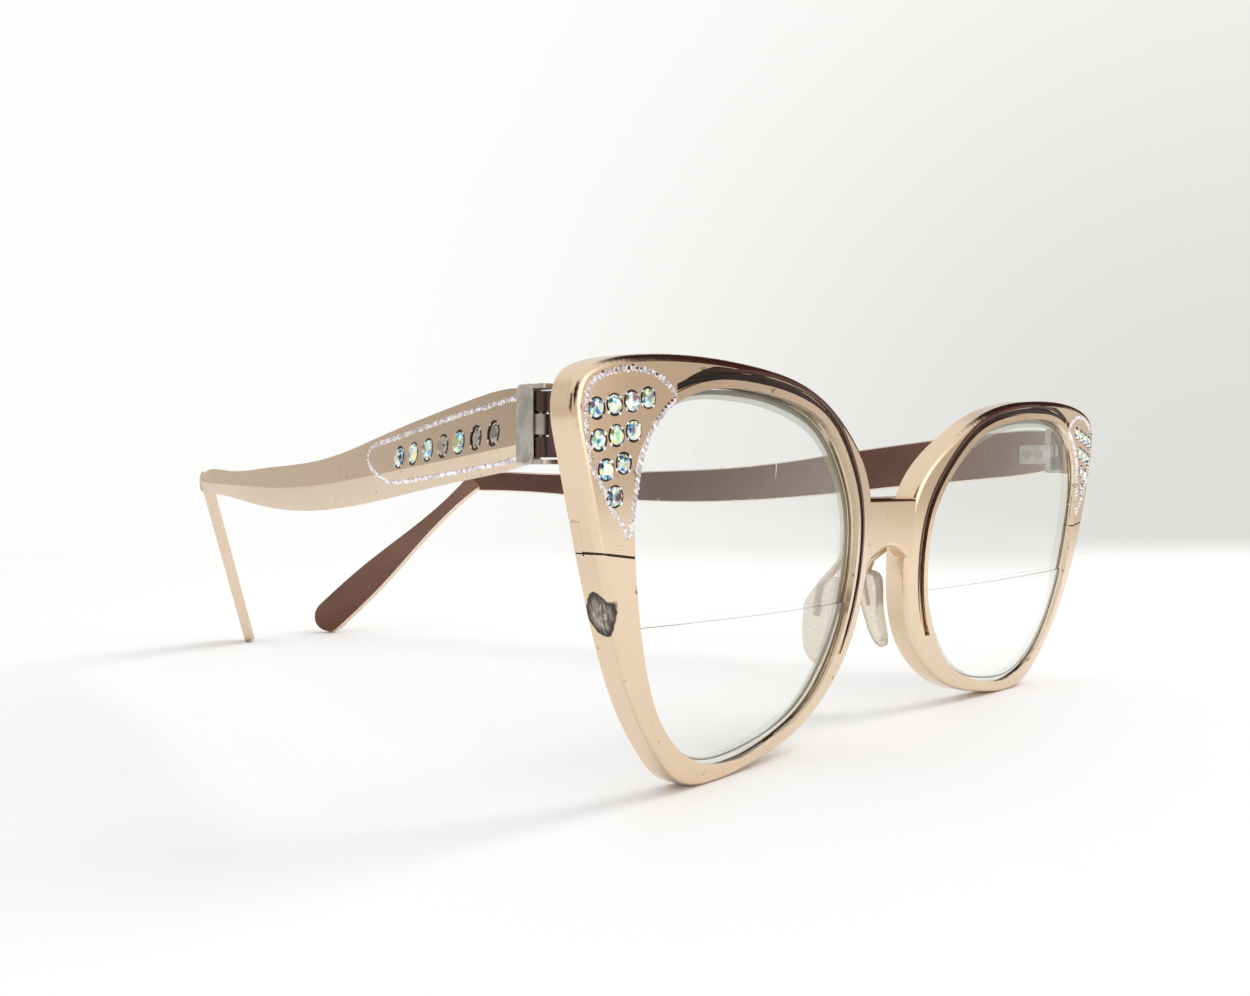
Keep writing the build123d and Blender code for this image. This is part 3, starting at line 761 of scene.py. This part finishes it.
# stones in a row, the outermost's place out from and below the opening's corner, and the rise per stone
corner_rows = ((4, 4.9, 2.7, 0.40), (3, 4.6, 5.4, 0.45), (2, 3.6, 7.9, 0.60), (1, 2.4, 10.2, 0.0))
for name, side in SIDES.items():
    rng = random.Random(11)
    stones, beads, seat_shadows = new_shape(), new_shape(), new_shape()
    for count, outward, below, rise in corner_rows:
        for i in range(count):
            x, z = corner_x + outward - corner_pitch * i, corner_z - below + rise * i
            place = level_on(*face_point(x, z, -0.05, side))
            spot, across, up, out = place
            turned = Matrix.Rotation(rng.uniform(0, 0.8), 3, out)
            tip = random_tip(rng, 0.16, place)
            chaton(stones, (spot, turned @ tip @ across, turned @ tip @ up, tip @ out), corner_stone * MM)
            # a dark ring of painted shade round the stone, in its seat
            seat_shadow_ring(seat_shadows, (spot + out * (0.06 * MM), across, up, out), corner_seat_shadow * MM)
            four_beads(beads, place, rng, *corner_bead)
    piece = mesh_piece(f"corner_stones_{name}", stones, rainbow, "front")
    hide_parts(f"brow_stones_{name}")
    mesh_piece(f"corner_beads_{name}", beads, silver, "front", smooth=True)
    mesh_piece(f"corner_seat_shadows_{name}", seat_shadows, lacquer_and_shade, "front")


# ------------------------------------------------------------------ lenses
# Clear glass bifocals with a straight ledge across, bevelled into the eyewire's groove. Handling has left a
# few fine scratches on the front of the wearer's right one.
clear, tree, shader = new_material("clear lens", {"Base Color": (0.985, 1.0, 0.985), "IOR": 1.5,
                                                  "Transmission Weight": 1.0, "Metallic": 0.0})
dirt = add_wear(tree, pits=0.3)["Dirt"]
feed(tree, shader.inputs["Roughness"], maths(tree, "MULTIPLY", dirt, 0.25))
let_through(tree, shader, add_node(tree, "ShaderNodeLightPath").outputs["Is Shadow Ray"])
for name in SIDES:
    dress(f"lens_{name}", clear)

scratch_white, _, _ = new_material("lens scratch", {"Base Color": (0.95, 0.94, 0.92), "Roughness": 0.6,
                                                    "Alpha": 0.7})
scratch_depths = (-0.735, -0.748)
scratch_lines = (((45.6, 35.2), (44.9, 34.2), (44.5, 33.2), (43.6, 32.2), (43.2, 31.2)),
                 ((44.8, 33.6), (44.2, 32.6)),
                 ((30.2, 32.8), (30.0, 31.6), (30.1, 30.6)),
                 ((32.5, 34.4), (32.3, 33.9)))
shape = new_shape()
for points in scratch_lines:
    line = smooth_line(points, 0.2)
    rows = []
    for i, p in enumerate(line):
        half = 0.05 * math.sin(math.pi * (i + 0.6) / (len(line) + 0.2)) + 0.01
        rows.append([face_point(p.x + aside, p.y, depth, -1)[0] for depth in scratch_depths
                     for aside in (-half, half)])
    band(shape, rows)
mesh_piece("lens_scratches_right", shape, scratch_white, "front")

# Seen through each lens, a greyish green band runs round its edge, widest beside the nose. Its outer half,
# next to the rim, is a painted reflection of the rim in dark olive brown.
rim_reflection_paint, _, _ = new_material("painted rim reflection", {"Base Color": (0.25, 0.22, 0.10), "Roughness": 0.35,
                                                  "Alpha": 0.8})
pale_lens_band, _, _ = new_material("pale lens band", {"Base Color": (0.52, 0.53, 0.38), "Roughness": 0.4,
                                                     "Alpha": 0.30})
lens_band_depths = (-2.6, -2.64)               # just behind the lens
# its width by the way from the lens's middle, in degrees
lens_band_widths = ((-180, 2.2), (-140, 1.5), (-110, 0.35), (-60, 0.25), (-8, 0.25), (2, 0.55), (40, 0.6),
                (75, 1.1), (110, 1.4), (150, 1.9), (180, 2.2))


def lens_band_width(p):
    """The band's width at a point of the lens opening."""
    angle = math.degrees(math.atan2(p.y - lens_z, p.x - lens_x))
    for (a, wide_a), (b, wide_b) in zip(lens_band_widths, lens_band_widths[1:]):
        if angle <= b:
            return wide_a + (wide_b - wide_a) * (angle - a) / (b - a)


for name, side in SIDES.items():
    # the outer half is the painted reflection, the inner half the pale band
    for part, material, start, end in (("edge", rim_reflection_paint, 0.0, 0.5), ("band", pale_lens_band, 0.5, 1.0)):
        rows = []
        for i, p in enumerate(opening):
            inward = [-(lens_band_width(p) * share + 0.01) for share in (start, end)]
            rows.append(strip_row(i, side, inward, lens_band_depths))
        shape = new_shape()
        band(shape, rows, closed=True)
        mesh_piece(f"lens_edge_band_{part}_{name}", shape, material, "front")


# ------------------------------------------------------------------ nose pads
# Clear plastic pads gone yellow with age. Each is held by a bent arm of gilt wire, whose foot is riveted to
# the eyewire's back.
aged, tree, shader = new_material("aged pad plastic", {"Transmission Weight": 0.7, "IOR": 1.45})
wear = add_wear(tree)
yellowed = mix_colour(tree, wear["Drift"], (0.97, 0.92, 0.82), (0.92, 0.82, 0.66))
feed(tree, shader.inputs["Base Color"], yellowed)
feed(tree, shader.inputs["Roughness"], roughened(tree, wear["Dirt"], 0.3, 0.25))
wire_gold = anodised("gilt wire", (0.80, 0.66, 0.48), (0.62, 0.50, 0.38), 0.25, pits=0.8)
for name in SIDES:
    dress(f"nose_pad_{name}", aged)
    dress(f"nose_pad_bracket_{name}", wire_gold)
    dress(f"pad_rivet_{name}", wire_gold)


# ------------------------------------------------------------------ hinges
# Half hinges of steel gone brown, screwed to the back of the front. On each side a long screw is the pin
# through their two knuckles and the temple block's one between them.
hinge_brown = anodised("browned hinge steel", (0.16, 0.11, 0.10), (0.09, 0.06, 0.06), 0.3, pits=0.8)
screw_steel = anodised("screw steel", (0.52, 0.49, 0.47), (0.36, 0.33, 0.31), 0.28, pits=0.6)
for name in SIDES:
    dress(f"front_hinge_leaf_{name}", hinge_brown)
    for node in ("hinge_leaf_screws", "hinge_screw", "eyewire_screw", "temple_block_screws"):
        dress(f"{node}_{name}", screw_steel)


# ------------------------------------------------------------------ hinge blocks
# A block of bare scuffed metal ends each temple, with a tongue screwed inside the bar. Its outboard cheek is
# a pewter-grey plate, bevelled all round, that closes the side of the hinge slot.
bare_block = anodised("bare scuffed block", (0.98, 0.95, 0.92), (0.16, 0.14, 0.13), 0.36,
                      pits=1.0, hairlines=1.0, drift_scale=520.0)
temple_fold = math.radians(16.3)           # both temples stand folded in by this much at rest
hinge_height = 35.1                        # the middle of the hinge above the table
cheek_ahead, cheek_behind, cheek_half_height, cheek_round = 0.8, 2.15, 3.5, 0.6
cheek_layers = ((0.6, 1.17), (0.6, 1.27), (0.42, 1.36))    # corner radius, and distance outboard of the pin


def temple_place(name, side):
    """The middle of a temple's hinge pin, the way back along the temple and the way outboard of it."""
    pin_low, pin_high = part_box(f"hinge_screw_{name}")
    pin = Vector(((pin_low[0] + pin_high[0]) / 2, (pin_low[1] + pin_high[1]) / 2, hinge_height * MM))
    back = Vector((-side * math.sin(temple_fold), math.cos(temple_fold), 0))
    outboard = Vector((side * math.cos(temple_fold), math.sin(temple_fold), 0))
    return pin, back, outboard


rear, fore, high = cheek_behind - cheek_round, cheek_round - cheek_ahead, cheek_half_height - cheek_round
cheek_corners = ((rear, high), (fore, high), (fore, -high), (rear, -high))
for name, side in SIDES.items():
    dress(f"temple_hinge_block_{name}", bare_block)
    pin, back, outboard = temple_place(name, side)
    verts, faces = new_shape()
    for radius, away in cheek_layers:
        for corner, (s, z) in enumerate(cheek_corners):
            for step in range(6):
                turn = math.radians(90 * corner + 18 * step)
                verts.append(pin + back * ((s + radius * math.cos(turn)) * MM) + outboard * (away * MM)
                             + upward * ((z + radius * math.sin(turn)) * MM))
    count = len(verts) // len(cheek_layers)
    ring_faces(faces, 0, count, count)
    ring_faces(faces, count, 2 * count, count)
    faces.append(list(range(count)))
    faces.append(list(range(2 * count, 3 * count)))
    mesh_piece(f"block_cheek_{name}", (verts, faces), bare_block, f"temple_{name}")


# ------------------------------------------------------------------ temples
# Each temple is one ridged aluminium bar, anodised like the front, with its flat ear end bent down. A
# bright-cut line frames its seven foiled stones. On the wearer's right temple three of them have gone dull.
# The temples' inner faces get painted brown shade.
temple_gold = anodised("temple pink gold", (0.80, 0.66, 0.50), (0.74, 0.58, 0.44), 0.26,
                       pits=0.35, shaded_inside=True)
dull = foiled("dull stone", 0.9, 0.2)
# Places on the bar are how far behind the hinge pin and above its middle.
bar_border = ((3.0, 2.5), (6.1, 2.2), (16.5, 1.1), (28.5, -0.4), (35.4, -1.2), (37.0, -1.8), (37.3, -2.7),
              (36.2, -3.7), (33.1, -4.75), (29.8, -5.3), (16.4, -4.3), (6.05, -3.35), (3.0, -2.9))
bar_end_line = ((2.6, -2.6), (2.6, -0.1), (2.6, 2.3))
bar_cut, bar_slant = (0.66, 0.38, 0.15), 0.30
bar_track_width, end_line_width, bar_track_proud = 0.34, 0.16, 0.015
first_stone, next_stone = Vector((7.15, -0.6)), Vector((3.55, -0.337))
beside_seat = Vector((1.5, -0.14))         # from a stone's middle to plain metal along the row
bright_stone, dull_stone, bar_seat_shadow = 2.116, 1.978, 2.46
bar_bead = (1.14, 0.30, 0.38)
stone_count, dull_on_right, sunk_on_right = 7, (0, 1, 3), (0, 1)    # counted from the hinge
for name, side in SIDES.items():
    dress(f"temple_{name}", temple_gold)
    bar_surface = surface_of(f"temple_{name}")
    pin, back, outboard = temple_place(name, side)

    def on_bar(p):
        """A spot on the temple's outer face and the way out of it."""
        start = pin + back * (p.x * MM) + upward * (p.y * MM)
        hit, normal, _, _ = bar_surface.ray_cast(start + outboard * ray_start, -outboard, ray_length)
        return hit, normal

    shape = new_shape()
    line = smooth_line(bar_border, 0.50)
    track(shape, line, on_bar, bar_track_width, bar_track_proud)
    cut_row(shape, line, on_bar, 5, bar_cut, bar_slant * side)
    track(shape, smooth_line(bar_end_line, 0.50), on_bar, end_line_width, bar_track_proud)
    mesh_piece(f"temple_border_{name}", shape, silver, f"temple_{name}")
    rng = random.Random(23 + side)
    bright, worn, seat_shadows, beads = (new_shape() for _ in range(4))
    for i in range(stone_count):
        here = first_stone + next_stone * i
        after, out = on_bar(here + beside_seat)
        place = level_on((on_bar(here - beside_seat)[0] + after) / 2, out)
        spot, across, up, out = place
        tip = random_tip(rng, 0.14, place)
        turned = Matrix.Rotation(rng.uniform(0, 0.8), 3, out) @ tip
        low = 0.35 if side < 0 and i in sunk_on_right else 0.05
        stones, stone = (worn, dull_stone) if side < 0 and i in dull_on_right else (bright, bright_stone)
        chaton(stones, (spot - out * (low * MM), turned @ across, turned @ up, tip @ out), stone * MM)
        # a dark ring of painted shade round the stone, in its seat
        seat_shadow_ring(seat_shadows, (spot + out * (0.01 * MM), across, up, out), bar_seat_shadow * MM)
        four_beads(beads, place, rng, *bar_bead)
    piece = mesh_piece(f"temple_bright_stones_{name}", bright, rainbow, f"temple_{name}")
    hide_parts(f"temple_stones_{name}")
    if worn[0]:
        mesh_piece(f"temple_dull_stones_{name}", worn, dull, f"temple_{name}")
    mesh_piece(f"temple_seat_shadows_{name}", seat_shadows, lacquer_and_shade, f"temple_{name}")
    mesh_piece(f"temple_beads_{name}", beads, temple_gold, f"temple_{name}", smooth=True)


# ------------------------------------------------------------------ finish
# The dressed glasses are measured beside the plain ones.
low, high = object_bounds()
{"cad": [list(cad_low), list(cad_high)], "visual": [list(low), list(high)]}
